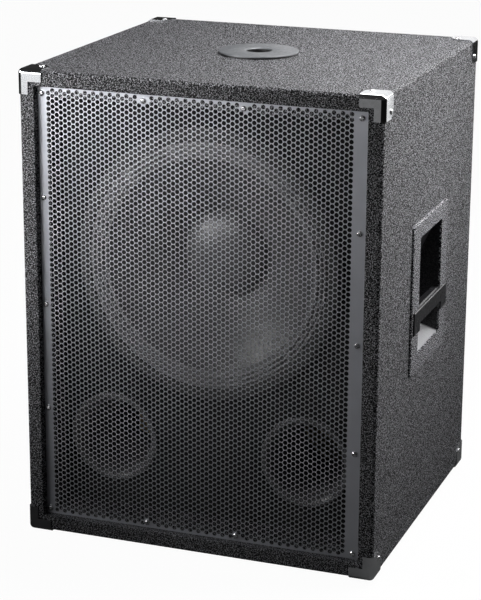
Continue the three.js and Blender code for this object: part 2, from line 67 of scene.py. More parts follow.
# ---- places read from the frame ----
SHELL_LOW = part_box("bottom_panel")[0]
SHELL_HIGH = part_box("top_panel")[1]
SHELL_MIDDLE_Z = (SHELL_LOW.z + SHELL_HIGH.z) / 2
INNER_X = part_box("right_panel")[0].x
INNER_LOW_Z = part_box("bottom_panel")[1].z
INNER_HIGH_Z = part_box("top_panel")[0].z
GRILLE_LOW, GRILLE_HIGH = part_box("grille")
BASKET_LOW, BASKET_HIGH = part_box("driver_basket")
DRIVER_Z = (BASKET_LOW.z + BASKET_HIGH.z) / 2
AXIS = (0, 0, DRIVER_Z)
BAFFLE_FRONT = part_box("baffle_board")[0].y
BAFFLE_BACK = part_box("baffle_board")[1].y

EDGE = 5 * MM                    # radius of the cabinet's outer edges


# ---- meshes ----
def tuned(thing, **settings):
    for key, value in settings.items():
        setattr(thing, key, value)
    return thing


@contextmanager
def editing(mesh):
    """Opens a mesh for changes and writes them back at the end."""
    work = bmesh.new()
    work.from_mesh(mesh)
    yield work
    work.to_mesh(mesh)
    work.free()


def new_object(name, data):
    made = bpy.data.objects.new(name, data)
    bpy.context.scene.collection.objects.link(made)
    return made


def mesh_object(name, points, faces):
    """A new object with doubled points merged, no edge without a face, and its faces pointing out."""
    mesh = bpy.data.meshes.new(name)
    mesh.from_pydata([tuple(p) for p in points], [], faces)
    with editing(mesh) as work:
        bmesh.ops.remove_doubles(work, verts=work.verts, dist=1e-6)
        bmesh.ops.dissolve_degenerate(work, edges=work.edges, dist=1e-7)
        bare = [edge for edge in work.edges if not edge.link_faces]
        bmesh.ops.delete(work, geom=bare, context="EDGES")
        bmesh.ops.recalc_face_normals(work, faces=work.faces)
    return new_object(name, mesh)


def shade(piece, angle=35):
    """Smooth shading that keeps the edges sharper than an angle in degrees."""
    piece.data.shade_smooth()
    piece.data.set_sharp_from_angle(angle=math.radians(angle))


def even_normals(piece):
    """Lets large faces decide the shading of the small ones beside them."""
    tuned(piece.modifiers.new("normals", "WEIGHTED_NORMAL"), keep_sharp=True)


def apply_modifiers(piece):
    graph = bpy.context.evaluated_depsgraph_get()
    result = bpy.data.meshes.new_from_object(piece.evaluated_get(graph))
    old = piece.data
    piece.modifiers.clear()
    piece.data = result
    bpy.data.meshes.remove(old)


def weld(piece, reach=2e-6):
    """Merges points closer than reach and drops faces without width."""
    with editing(piece.data) as work:
        bmesh.ops.remove_doubles(work, verts=work.verts, dist=reach)
        bmesh.ops.dissolve_degenerate(work, edges=work.edges, dist=reach)


def boolean(piece, tool, operation="DIFFERENCE"):
    """Cuts, joins or intersects piece with tool, and removes tool."""
    tuned(piece.modifiers.new("boolean", "BOOLEAN"), operation=operation, solver="EXACT", object=tool)
    apply_modifiers(piece)
    bpy.data.objects.remove(tool)
    return piece


def round_every_edge(piece, width, segments=4):
    tuned(piece.modifiers.new("round", "BEVEL"), width=width, segments=segments, limit_method="NONE")
    apply_modifiers(piece)
    return piece


def joined(first, *others):
    """One object that holds the closed bodies of several."""
    with editing(first.data) as work:
        for piece in others:
            work.from_mesh(piece.data)
            bpy.data.objects.remove(piece)
    return first


def quarter(steps):
    """Pairs of 1 - cos and 1 - sin over a quarter turn."""
    angles = [math.pi / 2 * i / steps for i in range(steps + 1)]
    return [(1 - math.cos(angle), 1 - math.sin(angle)) for angle in angles]


def arc(centre, radius, start, end, steps):
    """Points of an arc in a plane, its angles in degrees."""
    angles = [math.radians(start + (end - start) * i / steps) for i in range(steps + 1)]
    return [(centre[0] + radius * math.cos(a), centre[1] + radius * math.sin(a)) for a in angles]


def filleted(corners, steps=4):
    """A closed outline from (u, v, radius) corners, each rounded by its radius."""
    outline = []
    for i, (u, v, radius) in enumerate(corners):
        here = Vector((u, v))
        if radius <= 0:
            outline.append((u, v))
            continue
        before = Vector(corners[i - 1][:2]) - here
        after = Vector(corners[(i + 1) % len(corners)][:2]) - here
        half = before.angle(after) / 2
        reach = radius / math.tan(half)
        start = here + before.normalized() * reach
        end = here + after.normalized() * reach
        centre = here + (before.normalized() + after.normalized()).normalized() * radius / math.sin(half)
        for k in range(steps + 1):
            spread = (start - centre).normalized().slerp((end - centre).normalized(), k / steps)
            outline.append(tuple(centre + spread * radius))
    return outline


def ring_faces(rings, closed):
    """Quads between neighbouring rings of equal length, numbered in order."""
    count = len(rings[0])
    last = len(rings) if closed else len(rings) - 1
    faces = []
    for i in range(last):
        here, there = i * count, (i + 1) % len(rings) * count
        for k in range(count):
            after = (k + 1) % count
            faces.append((here + k, here + after, there + after, there + k))
    return faces


def loft(name, rings, closed=False):
    """A skin over rings of points, closed on itself or capped at its ends."""
    faces = ring_faces(rings, closed)
    points = [p for ring in rings for p in ring]
    if not closed:
        count = len(rings[0])
        faces.append(tuple(range(count)))
        faces.append(tuple(range(len(points) - count, len(points))))
    return mesh_object(name, points, faces)


def turned(name, outline, centre=(0, 0, 0), axis="Y", segments=96):
    """A body turned about an axis from a closed outline of (radius, distance along the axis)."""
    middle = Vector(centre)
    rings = []
    for i in range(segments):
        angle = 2 * math.pi * i / segments
        ring = []
        for radius, along in outline:
            u, v = radius * math.cos(angle), radius * math.sin(angle)
            ring.append(middle + Vector((u, along, v) if axis == "Y" else (u, v, along)))
        rings.append(ring)
    return loft(name, rings, closed=True)


def rounded_rectangle(half_u, half_v, radius, steps=4):
    corners = []
    for sign_u, sign_v, start in ((1, 1, 0), (-1, 1, 90), (-1, -1, 180), (1, -1, 270)):
        centre = (sign_u * (half_u - radius), sign_v * (half_v - radius))
        corners += arc(centre, radius, start, start + 90, steps)
    return corners


def block(name, low, high):
    """A box between two corners, for cutting."""
    points = [(x, y, z) for x in (low[0], high[0]) for y in (low[1], high[1]) for z in (low[2], high[2])]
    faces = [(0, 1, 3, 2), (4, 6, 7, 5), (0, 4, 5, 1), (2, 3, 7, 6), (0, 2, 6, 4), (1, 5, 7, 3)]
    return mesh_object(name, points, faces)


def soft_block(name, low, high, radius, segments=4):
    """A box between two corners with every edge rounded."""
    return round_every_edge(block(name, low, high), radius, segments)


def placed_copy(source, name, matrix):
    copy = new_object(name, source.data.copy())
    copy.data.transform(matrix)
    return copy


def mirrored(piece, name, axes):
    """A copy of a piece's mesh scaled by -1 or 1 along each axis about the cabinet's middle."""
    middle = Vector((0, 0, SHELL_MIDDLE_Z))
    matrix = Matrix.Translation(middle) @ Matrix.Diagonal((*axes, 1)) @ Matrix.Translation(-middle)
    copy = placed_copy(piece, name, matrix)
    if math.prod(axes) < 0:
        copy.data.flip_normals()
    return copy


# ---- materials ----
class Finish:
    """A procedural material: a Principled shader fed by textures in the frame's own metres."""

    def __init__(self, name):
        self.material = bpy.data.materials.new(name)
        self.material.use_nodes = True
        self.tree = self.material.node_tree
        self.shader = self.tree.nodes["Principled BSDF"]
        self.place = self.node("ShaderNodeTexCoord").outputs["Object"]

    def node(self, kind, inputs=None, **settings):
        made = tuned(self.tree.nodes.new(kind), **settings)
        for key, value in (inputs or {}).items():
            self.feed(made.inputs[key], value)
        return made

    def feed(self, socket, value):
        if isinstance(value, bpy.types.NodeSocket):
            self.tree.links.new(value, socket)
        else:
            socket.default_value = value

    def set(self, name, value):
        self.feed(self.shader.inputs[name], value)

    def noise(self, size, detail=2.0, rough=0.5, stretch=None):
        """Soft noise whose lumps are about size metres across."""
        place = self.place
        if stretch:
            place = self.node("ShaderNodeMapping", {"Vector": place, "Scale": stretch}).outputs["Vector"]
        inputs = {"Vector": place, "Scale": 1 / size, "Detail": detail, "Roughness": rough}
        return self.node("ShaderNodeTexNoise", inputs).outputs["Fac"]

    def cells(self, size):
        inputs = {"Vector": self.place, "Scale": 1 / size}
        return self.node("ShaderNodeTexVoronoi", inputs).outputs["Distance"]

    def bands(self, width, direction, distortion=0.0, profile="SIN"):
        """Stripes and gaps, each about width metres wide, that follow one another along a direction."""
        inputs = {"Vector": self.place, "Scale": STRIPE_AT_SCALE_ONE / width, "Distortion": distortion}
        wave = self.node("ShaderNodeTexWave", inputs, bands_direction=direction, wave_profile=profile)
        return wave.outputs["Fac"]

    def along(self, vector, axis):
        return self.node("ShaderNodeSeparateXYZ", {"Vector": vector}).outputs[axis]

    def facing(self, axis):
        """How far the bare surface faces along an axis."""
        return self.along(self.node("ShaderNodeNewGeometry").outputs["True Normal"], axis)

    def ramp(self, value, *stops):
        """A colour ramp through (position, grey or colour) stops."""
        made = self.node("ShaderNodeValToRGB", {"Fac": value})
        elements = made.color_ramp.elements
        while len(elements) < len(stops):
            elements.new(0.5)
        for element, (position, shown) in zip(elements, stops):
            element.position = position
            element.color = (*shown, 1) if isinstance(shown, tuple) else (shown, shown, shown, 1)
        return made.outputs["Color"]

    def shades(self, value, first, last, start=0.3, end=0.7):
        """Runs the colour from first to last while a texture's value goes from start to end."""
        self.set("Base Color", self.ramp(value, (start, first), (end, last)))

    def roughs(self, value, first, last, start=0.3, end=0.7):
        """The same for the roughness."""
        self.set("Roughness", self.ramp(value, (start, first), (end, last)))

    def math(self, operation, first, second=0.0):
        made = self.node("ShaderNodeMath", operation=operation)
        self.feed(made.inputs[0], first)
        self.feed(made.inputs[1], second)
        return made.outputs["Value"]

    def mix(self, share, first, second, kind="MIX"):
        made = self.node("ShaderNodeMix", data_type="RGBA", blend_type=kind)
        self.feed(made.inputs[0], share)
        for socket, value in ((made.inputs[6], first), (made.inputs[7], second)):
            self.feed(socket, (*value, 1) if isinstance(value, tuple) else value)
        return made.outputs[2]

    def bump(self, height, depth, strength=1.0):
        inputs = {"Height": height, "Distance": depth, "Strength": strength}
        self.set("Normal", self.node("ShaderNodeBump", inputs).outputs["Normal"])


def textured_paint(finish, smooth_within=0.0):
    """Hard cabinet paint thrown on in fine grains; the grains are real relief, and their colour, pale on the
    raised grains and near black in the hollows, is painted highlight and painted shade.

    Nearer to the cabinet's middle than smooth_within it is smooth, painted pale where it faces up as painted
    light from above, and near black elsewhere as painted shade.
    The paint outside that distance is then a little paler too.
    """
    height = finish.noise(1.55 * MM, rough=0.55, stretch=(1, 0.6, 1))
    # Pale on the raised grains and near black in the hollows: painted highlight and painted shade on the
    # grain.
    painted_shade_hollows = (0.43, (0.002, 0.002, 0.0025))
    flats = (0.53, (0.015, 0.015, 0.0165))
    painted_highlight_grains = (0.61, (0.28, 0.28, 0.3))
    colour = finish.ramp(height, painted_shade_hollows, flats, painted_highlight_grains)
    rough = finish.ramp(height, (0.4, 0.66), (0.6, 0.38))
    finish.set("Specular IOR Level", finish.ramp(height, (0.4, 0.08), (0.62, 0.55)))
    if smooth_within > 0:
        outward = finish.math("ABSOLUTE", finish.along(finish.place, "X"))
        textured = finish.math("GREATER_THAN", outward, smooth_within)
        # Within it, up-facing surfaces are painted pale and the rest near black: painted light from above and
        # painted shade in the dish.
        painted_light_by_facing = finish.ramp(finish.facing("Z"), (0.3, (0.02, 0.02, 0.022)), (0.8, (0.34, 0.34, 0.35)))
        # The textured paint beyond that distance is made paler by a fixed factor.
        paler_share, brighter = 0.8, (2.2, 2.2, 2.2)
        paler_tone = finish.mix(paler_share, colour, brighter, "MULTIPLY")
        smooth_roughness = (0.4, 0.4, 0.4)
        colour = finish.mix(textured, painted_light_by_facing, paler_tone)
        rough = finish.mix(textured, smooth_roughness, rough)
        height = finish.math("MULTIPLY", height, textured)
    finish.set("Base Color", colour)
    finish.set("Roughness", rough)
    finish.bump(height, 1.8 * MM)


def baffle_paint(finish):
    """Dead black brushed on behind the grille so that it can't be seen through the holes."""
    finish.set("Roughness", 0.8)
    strokes = finish.noise(3 * MM, detail=4, rough=0.65, stretch=(0.15, 1, 1))
    finish.shades(strokes, 0.005, (0.014, 0.014, 0.0145))
    finish.set("Specular IOR Level", 0.2)
    finish.bump(strokes, 0.2 * MM)


def grille_steel(finish):
    """Satin coat with a fine orange peel, a little uneven, with the holes' walls coloured near black as
    painted shade.
    """
    coat = finish.ramp(finish.noise(60 * MM), (0.3, (0.5, 0.51, 0.55)), (0.7, (0.6, 0.61, 0.66)))
    # The holes' walls are near black and not metallic: painted shade inside the holes.
    painted_shade_in_holes = (0.03, 0.03, 0.03)
    metal_share = 0.85
    flat = finish.math("GREATER_THAN", finish.math("ABSOLUTE", finish.facing("Y")), 0.5)
    finish.set("Base Color", finish.mix(flat, painted_shade_in_holes, coat))
    finish.set("Metallic", finish.math("MULTIPLY", flat, metal_share))
    finish.roughs(finish.noise(1.5 * MM), 0.3, 0.42)
    finish.bump(finish.noise(0.9 * MM), 0.05 * MM)


def corner_steel(finish):
    """Nickel-plated pressed steel with faint scuffs and fine polishing lines."""
    finish.set("Metallic", 1.0)
    scuffs = finish.noise(9 * MM, detail=4, rough=0.7)
    finish.shades(scuffs, (0.66, 0.67, 0.69), (0.74, 0.75, 0.77), 0.35, 0.65)
    finish.roughs(scuffs, 0.14, 0.08, 0.35, 0.65)
    finish.bump(finish.noise(1.2 * MM, stretch=(1, 1, 0.1)), 0.03 * MM, 0.4)


def screw_steel(finish):
    """Bright zinc, a little cloudy."""
    finish.set("Metallic", 1.0)
    cloud = finish.noise(1.5 * MM, detail=3)
    finish.shades(cloud, (0.55, 0.55, 0.56), (0.82, 0.82, 0.84))
    finish.roughs(cloud, 0.34, 0.18)


def socket_aluminium(finish):
    """Grey stove paint on a cast plate, smooth with a soft cloudiness, over a tube coloured black as painted
    shade in the bore.
    """
    finish.set("Metallic", 0.4)
    cloud = finish.noise(22 * MM, detail=3, rough=0.6)
    # Below the plate the tube and bore are coloured black: painted shade in the recess.
    black = (0.012, 0.012, 0.013)
    painted_shade_line = SHELL_HIGH.z + 2.4 * MM
    plate = finish.math("GREATER_THAN", finish.along(finish.place, "Z"), painted_shade_line)
    grey = finish.ramp(cloud, (0.3, (0.1, 0.105, 0.113)), (0.7, (0.145, 0.15, 0.158)))
    finish.set("Base Color", finish.mix(plate, black, grey))
    finish.roughs(finish.noise(4 * MM), 0.36, 0.48)
    finish.bump(finish.noise(0.8 * MM), 0.04 * MM)


def moulded_plastic(finish):
    """Black plastic from an etched mould, polished a little smoother where hands go."""
    paler_tone = finish.noise(18 * MM)
    finish.shades(paler_tone, (0.009, 0.009, 0.01), (0.018, 0.018, 0.02))
    finish.roughs(paler_tone, 0.34, 0.22)
    finish.bump(finish.noise(0.7 * MM, detail=3), 0.05 * MM)


def port_plastic(finish):
    """Dark grey plastic of the ports, satin with faint flow marks."""
    flow = finish.noise(11 * MM, detail=3, rough=0.6)
    finish.shades(flow, (0.07, 0.07, 0.073), (0.12, 0.12, 0.125))
    finish.roughs(flow, 0.42, 0.3)
    finish.bump(finish.noise(0.8 * MM), 0.04 * MM)


def basket_paint(finish):
    finish.set("Metallic", 0.2)
    cloud = finish.noise(6 * MM, detail=3)
    finish.shades(cloud, (0.022, 0.022, 0.024), (0.045, 0.045, 0.048))
    finish.roughs(cloud, 0.52, 0.38)
    finish.bump(finish.noise(1.1 * MM), 0.06 * MM)


def soft_rubber(finish, colour, roughness):
    """Matt rubber with a fine grain and a dusty bloom."""
    dust = finish.noise(14 * MM, detail=4, rough=0.7)
    finish.shades(dust, colour, tuple(2.2 * c for c in colour), 0.4, 0.75)
    finish.roughs(dust, roughness - 0.12, roughness)
    finish.bump(finish.noise(0.6 * MM, detail=3), 0.05 * MM)


def pleated_cloth(finish):
    """Doped cotton: a fine square weave filled with a tacky coat."""
    weave = finish.math("MAXIMUM", *(finish.bands(0.5 * MM, axis, distortion=0.6) for axis in "XZ"))
    finish.shades(weave, (0.08, 0.08, 0.083), (0.22, 0.22, 0.226), 0.2, 0.9)
    finish.roughs(finish.noise(8 * MM), 0.6, 0.4)
    finish.bump(weave, 0.08 * MM)


def cone_paper(finish):
    """Pressed pulp: short fibres in dark grey, slightly mottled."""
    fibres = finish.noise(1.6 * MM, detail=5, rough=0.75)
    mottle = finish.math("MULTIPLY", finish.noise(16 * MM), 0.4)
    shown = finish.math("ADD", finish.math("MULTIPLY", fibres, 0.6), mottle)
    finish.shades(shown, (0.055, 0.055, 0.057), (0.105, 0.105, 0.109), 0.35, 0.65)
    finish.roughs(fibres, 0.42, 0.3)
    finish.bump(fibres, 0.15 * MM)


def coil_copper(finish):
    """Turns of enamelled wire round the driver's axis."""
    finish.set("Roughness", 0.3)
    finish.set("Metallic", 1.0)
    turns = finish.bands(0.4 * MM, "Y")
    finish.shades(turns, (0.3, 0.12, 0.06), (0.78, 0.38, 0.2), 0.1, 0.6)
    finish.bump(turns, 0.15 * MM)


def motor_steel(finish):
    finish.set("Metallic", 1.0)
    cloud = finish.noise(12 * MM, detail=4, rough=0.7)
    finish.shades(cloud, (0.36, 0.36, 0.37), (0.55, 0.55, 0.53), 0.35, 0.65)
    finish.roughs(cloud, 0.45, 0.28)


def magnet_ferrite(finish):
    """Ground ceramic, dull and pitted."""
    finish.set("Roughness", 0.75)
    pits = finish.cells(2 * MM)
    finish.shades(pits, (0.025, 0.025, 0.027), (0.07, 0.07, 0.073), 0.05, 0.5)
    finish.bump(pits, 0.1 * MM)


def wadding_wool(finish):
    """Loose white fibres."""
    finish.set("Roughness", 0.95)
    fibres = finish.noise(3 * MM, detail=6, rough=0.8, stretch=(0.4, 1, 1))
    finish.shades(fibres, (0.55, 0.53, 0.48), (0.82, 0.8, 0.76))
    finish.bump(fibres, 1.5 * MM)


def bare_plywood(finish):
    """Birch ply: long grain on the faces and thin dark glue lines."""
    finish.set("Roughness", 0.65)
    grain = finish.noise(9 * MM, detail=5, rough=0.65, stretch=(1, 1, 0.06))
    shown = finish.ramp(grain, (0.3, (0.42, 0.28, 0.15)), (0.7, (0.66, 0.5, 0.32)))
    glue = finish.ramp(finish.bands(3 * MM, "Y", profile="SAW"), (0.0, 0.55), (0.12, 1.0))
    finish.set("Base Color", finish.mix(1.0, shown, glue, "MULTIPLY"))
    finish.bump(grain, 0.2 * MM)


def finished(name, recipe, *values):
    """A material made by one of the recipes above."""
    finish = Finish(name)
    recipe(finish, *values)
    return finish.material


RECIPES = (textured_paint, bare_plywood, grille_steel, screw_steel, corner_steel, socket_aluminium,
           moulded_plastic, basket_paint, pleated_cloth, cone_paper, coil_copper, motor_steel, magnet_ferrite,
           wadding_wool)
MATERIALS = {recipe.__name__: finished(recipe.__name__, recipe) for recipe in RECIPES}
for name, rubber_colour, rubber_roughness in (
        ("gasket_rubber", (0.03, 0.03, 0.03), 0.8),
        ("foot_rubber", (0.02, 0.02, 0.02), 0.85),
        ("cable_rubber", (0.02, 0.02, 0.021), 0.6)):
    MATERIALS[name] = finished(name, soft_rubber, rubber_colour, rubber_roughness)


def paint(piece, slot):
    piece.data.materials.clear()
    piece.data.materials.append(MATERIALS[slot])
    return piece


def stand_for(piece, *nodes):
    """Puts a new piece in the place of CAD nodes, on their body and in their material."""
    paint(piece, SLOT_OF[nodes[0]])
    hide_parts(*nodes)
    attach(piece, BODY_OF[nodes[0]])
    return piece


def extra(piece, slot):
    """Adds a small piece that no CAD node holds to the cabinet."""
    paint(piece, slot)
    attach(piece, "root")


def measure(node):
    """A node's lowest and highest corner, its middle, and half its width."""
    low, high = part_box(node)
    return low, high, (low + high) / 2, (high.x - low.x) / 2


def turned_part(name, node, outline, centre=AXIS, sharp=35, **settings):
    """A turned piece in the place of a CAD node."""
    piece = turned(name, outline, centre, **settings)
    shade(piece, sharp)
    return stand_for(piece, node)


def on_both_sides(piece, name, node):
    """Puts mirrored copies of a right-hand piece in the place of both sides' nodes."""
    copies = []
    for side, sign in SIDES:
        copy = mirrored(piece, f"{name}_{side}", (sign, 1, 1))
        even_normals(copy)
        copies.append(stand_for(copy, f"{node}_{side}"))
    bpy.data.objects.remove(piece)
    return copies


# ---- cabinet shell ----
def shell_rings():
    """Rounded rectangles that wrap round the box: along its outside, and back along its inside."""
    inner_edge = 1.5 * MM
    inner_corner = 1 * MM
    least_corner = 0.001 * MM
    steps = 6
    outer = SHELL_HIGH.x, (SHELL_HIGH.z - SHELL_LOW.z) / 2
    inner = INNER_X, (INNER_HIGH_Z - INNER_LOW_Z) / 2
    stations = []
    for sign in (-1, 1):
        end = sign * SHELL_HIGH.y
        outside = []
        inside = []
        for inset, drop in quarter(steps):
            outside.append((outer, -EDGE * inset, EDGE * (1 - inset), end - sign * EDGE * drop))
            grow = inner_edge * inset
            inside.append((inner, grow, inner_corner + grow, end - sign * inner_edge * drop))
        stations += outside + inside[::-1] if sign < 0 else inside + outside[::-1]
    rings = []
    for (half_x, half_z), grow, corner, y in stations:
        outline = rounded_rectangle(half_x + grow, half_z + grow, max(corner, least_corner), steps)
        rings.append([(u, y, SHELL_MIDDLE_Z + v) for u, v in outline])
    return rings


def make_shell():
    shell = loft("cabinet_shell", shell_rings(), closed=True)
    clear = 1 * MM
    reach = 40 * MM
    for side, sign in SIDES:
        low, high = HANDLE_HOLE
        near, far = sorted((sign * (INNER_X - reach), sign * (SHELL_HIGH.x + reach)))
        hole = block("hole", (near, low.y - clear, low.z - clear), (far, high.y + clear, high.z + clear))
        boolean(shell, hole)
    radius = POLE_TUBE + clear
    bottom, top = INNER_HIGH_Z - reach, SHELL_HIGH.z + reach
    boolean(shell, turned("well", [(0, bottom), (radius, bottom), (radius, top), (0, top)], axis="Z"))
    shade(shell)
    even_normals(shell)
    stand_for(shell, "top_panel", "bottom_panel", "left_panel", "right_panel")


# ---- handles ----
CUP_LOW, CUP_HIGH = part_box("handle_cup_right")
BAR_LOW, BAR_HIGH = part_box("handle_bar_right")
FLANGE_THICK = CUP_HIGH.x - SHELL_HIGH.x
CUP_WALL = 3 * MM
CUP_OPEN_HALF = 58 * MM
CUP_OPEN_LOW = CUP_LOW.z + 27 * MM
CUP_OPEN_HIGH = CUP_HIGH.z - 23 * MM
CUP_DEPTH = SHELL_HIGH.x - CUP_LOW.x - CUP_WALL
CUP_LIP = 5 * MM                 # depth at which the sloped back wall starts
CUP_RISE = 20 * MM               # of the dish floor from the opening to its inner end
CUP_SHELF = 42 * MM              # height of the sloped wall's foot above the opening's lower edge
HANDLE_HOLE = (Vector((0, -CUP_OPEN_HALF - CUP_WALL, CUP_OPEN_LOW - CUP_WALL)),
               Vector((0, CUP_OPEN_HALF + CUP_WALL, CUP_OPEN_HIGH + CUP_WALL)))


def cup_solid(name, wall, outer, soft):
    """The handle dish as a solid: a floor that rises inwards and a back wall that slopes in from the top."""
    face = SHELL_HIGH.x
    low, high = CUP_OPEN_LOW - wall, CUP_OPEN_HIGH + wall
    deep = face - CUP_DEPTH - wall
    side = [(face, low), (face + outer, low), (face + outer, high), (face - CUP_LIP - wall, high),
            (deep, low + CUP_SHELF + wall), (deep, low + CUP_RISE)]
    half = CUP_OPEN_HALF + wall
    solid = loft(name, [[(x, y, z) for x, z in side] for y in (-half, half)])
    return round_every_edge(solid, soft) if soft > 0 else solid


def make_handle_cups():
    corner = 6 * MM
    edge = 2.6 * MM
    inner_edge = 3 * MM
    # Within this distance of the middle the dish is smooth, with painted light on its up-facing floor and
    # painted shade on its other walls.
    painted_shade_line = SHELL_HIGH.x + 0.4 * MM
    half_y, half_z = CUP_HIGH.y, (CUP_HIGH.z - CUP_LOW.z) / 2
    middle = (CUP_HIGH.z + CUP_LOW.z) / 2
    rings = [[(SHELL_HIGH.x, u, middle + v) for u, v in rounded_rectangle(half_y, half_z, corner)]]
    for inset, drop in quarter(4):
        inset *= edge
        outline = rounded_rectangle(half_y - inset, half_z - inset, corner - inset)
        rings.append([(CUP_HIGH.x - edge * drop, u, middle + v) for u, v in outline])
    cup = loft("handle_cup", rings)
    boolean(cup, cup_solid("outside", CUP_WALL, FLANGE_THICK / 2, 0), "UNION")
    boolean(cup, cup_solid("inside", 0, 30 * MM, inner_edge))
    shade(cup, 30)
    dish_finish = finished("dish_paint", textured_paint, painted_shade_line)
    for copy in on_both_sides(cup, "handle_dish", "handle_cup"):
        copy.data.materials[0] = dish_finish


def make_handle_bars():
    """A moulded grip, flat in front with a slanted upper edge, between two pads that lie on the flange."""
    soft = 1.6 * MM
    grip_high = 22.5 * MM
    slant = 6 * MM
    grip_half = CUP_OPEN_HALF - 0.4 * MM
    sunk = 0.3 * MM                  # of the grip below the pads
    pad_deep = 4 * MM
    past = 9 * MM
    face = CUP_HIGH.x
    inner, front = BAR_LOW.x, BAR_HIGH.x - sunk
    high = BAR_HIGH.z - sunk
    low = high - grip_high
    bottom, top = BAR_LOW.z - soft, BAR_HIGH.z + soft
    bar = soft_block("pads", (face - pad_deep, BAR_LOW.y, BAR_LOW.z), BAR_HIGH, soft)
    boolean(bar, block("trim", (face - past, BAR_LOW.y * 2, bottom), (face, -BAR_LOW.y * 2, top)))
    boolean(bar, block("window", (face - past, -grip_half, bottom), (front * 2, grip_half, low + soft)))
    outline = filleted([
        (inner, low, 3 * MM), (front, low, 2 * MM), (front, high - slant, 1 * MM),
        (front - slant, high, 1 * MM), (inner, high, 3 * MM),
    ])
    boolean(bar, loft("grip", [[(x, y, z) for x, z in outline] for y in (-grip_half, grip_half)]), "UNION")
    shade(bar, 30)
    on_both_sides(bar, "handle_grip", "handle_bar")


# ---- pole socket ----
POLE_LOW, POLE_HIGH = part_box("pole_socket")
POLE_BORE = 18 * MM
POLE_TUBE = 21 * MM


def make_pole_socket():
    plate = POLE_HIGH.x
    floor = 3 * MM
    soft = 0.7 * MM
    chamfer = 1.4 * MM
    lip = 0.4 * MM
    outline = filleted([
        (0, POLE_LOW.z, 0), (POLE_TUBE, POLE_LOW.z, soft), (POLE_TUBE, SHELL_HIGH.z, 0),
        (plate, SHELL_HIGH.z, 0), (plate, POLE_HIGH.z, soft), (POLE_BORE + chamfer, POLE_HIGH.z, lip),
        (POLE_BORE, POLE_HIGH.z - chamfer, lip), (POLE_BORE, POLE_LOW.z + floor, soft),
        (0, POLE_LOW.z + floor, 0),
    ])
    turned_part("pole_cup", "pole_socket", outline, (0, 0, 0), axis="Z", segments=128)


# ---- grille ----
HOLE_SIDES = 7
HOLE_RADIUS = 3.35 * MM
HOLE_COLUMNS = 72
HOLE_ROWS = 84
HOLE_PITCH = 7.4 * MM            # from hole to hole within a column
PLAIN_LEFT = 12.5 * MM           # plain edge of the sheet on each side
PLAIN_RIGHT = 21.5 * MM
SCREW_NAMES = sorted((n for n in NODES if n.startswith("grille_screw")), key=lambda n: int(n.split("_")[-1]))
HEAD_RADIUS = 4.2 * MM
SHANK_RADIUS = 1.8 * MM
SHANK_HOLE = 2.1 * MM
HOLE_GAP = 1.2 * MM              # least metal left between a perforation and a screw's hole


def screw_places():
    return [(middle.x, middle.z) for _, _, middle, _ in map(measure, SCREW_NAMES)]


def hole_places():
    """Centres and radii of the staggered perforations, and of the holes for the screws."""
    left = GRILLE_LOW.x + PLAIN_LEFT + HOLE_RADIUS
    right = GRILLE_HIGH.x - PLAIN_RIGHT - HOLE_RADIUS
    middle = (GRILLE_LOW.z + GRILLE_HIGH.z) / 2
    least = HOLE_RADIUS + SHANK_HOLE + HOLE_GAP
    screws = screw_places()
    holes = []
    for column in range(HOLE_COLUMNS):
        x = left + (right - left) * column / (HOLE_COLUMNS - 1)
        stagger = HOLE_PITCH / 4 * (1 if column % 2 else -1)
        for row in range(HOLE_ROWS):
            z = middle + (row - (HOLE_ROWS - 1) / 2) * HOLE_PITCH + stagger
            if all(math.hypot(x - sx, z - sz) > least for sx, sz in screws):
                holes.append((x, z, HOLE_RADIUS))
    return holes + [(x, z, SHANK_HOLE) for x, z in screws]


def make_grille():
    """The perforated sheet: flat faces triangulated between the holes, and the holes' own walls."""
    points = [(GRILLE_LOW.x, GRILLE_LOW.z), (GRILLE_HIGH.x, GRILLE_LOW.z),
              (GRILLE_HIGH.x, GRILLE_HIGH.z), (GRILLE_LOW.x, GRILLE_HIGH.z)]
    owner = [0] * len(points)
    loops = [[0, 1, 2, 3]]
    for number, (x, z, radius) in enumerate(hole_places(), 1):
        loops.append(list(range(len(points), len(points) + HOLE_SIDES)))
        owner += [number] * HOLE_SIDES
        for k in range(HOLE_SIDES):
            angle = 2 * math.pi * k / HOLE_SIDES + math.pi / 2
            points.append((x + radius * math.cos(angle), z + radius * math.sin(angle)))
    placed, _, triangles, sources, _, _ = delaunay_2d_cdt([Vector(p) for p in points], [], [], 0, 1e-7)
    source = [first[0] for first in sources]
    index = {original: new for new, original in enumerate(source)}
    count = len(placed)
    faces = []
    for triangle in triangles:
        owners = {owner[source[k]] for k in triangle}
        if len(owners) > 1 or 0 in owners:
            faces.append(tuple(triangle))
            faces.append(tuple(k + count for k in reversed(triangle)))
    for number, loop in enumerate(loops):
        ring = [index[k] for k in loop]
        if number == 0:
            ring.reverse()
        for here, after in zip(ring, ring[1:] + ring[:1]):
            faces.append((here, after, after + count, here + count))
    mesh = bpy.data.meshes.new("grille_sheet")
    mesh.from_pydata([(p.x, y, p.y) for y in (GRILLE_LOW.y, GRILLE_HIGH.y) for p in placed], [], faces)
    stand_for(new_object("grille_sheet", mesh), "grille")


# ---- screws ----
def pan_screw(name, radius, height, shank, length):
    """A pan head screw along +y, its head's seat at the origin, with a cross cut into the head."""
    flat = radius * 0.62
    side = height * 0.45
    outline = filleted([
        (0, -height, 0), (flat, -height, radius * 0.3), (radius, -side, height * 0.2), (radius, 0, 0),
        (shank, 0, 0), (shank, length - shank, 0), (0, length, 0),
    ], 3)
    screw = turned(name, outline, segments=32)
    arm, slot, deep = radius * 0.52, radius * 0.13, height * 0.6
    for half_x, half_z in ((slot, arm), (arm, slot)):
        boolean(screw, block("slot", (-half_x, -height * 2, -half_z), (half_x, deep - height, half_z)))
    shade(screw)
    return screw


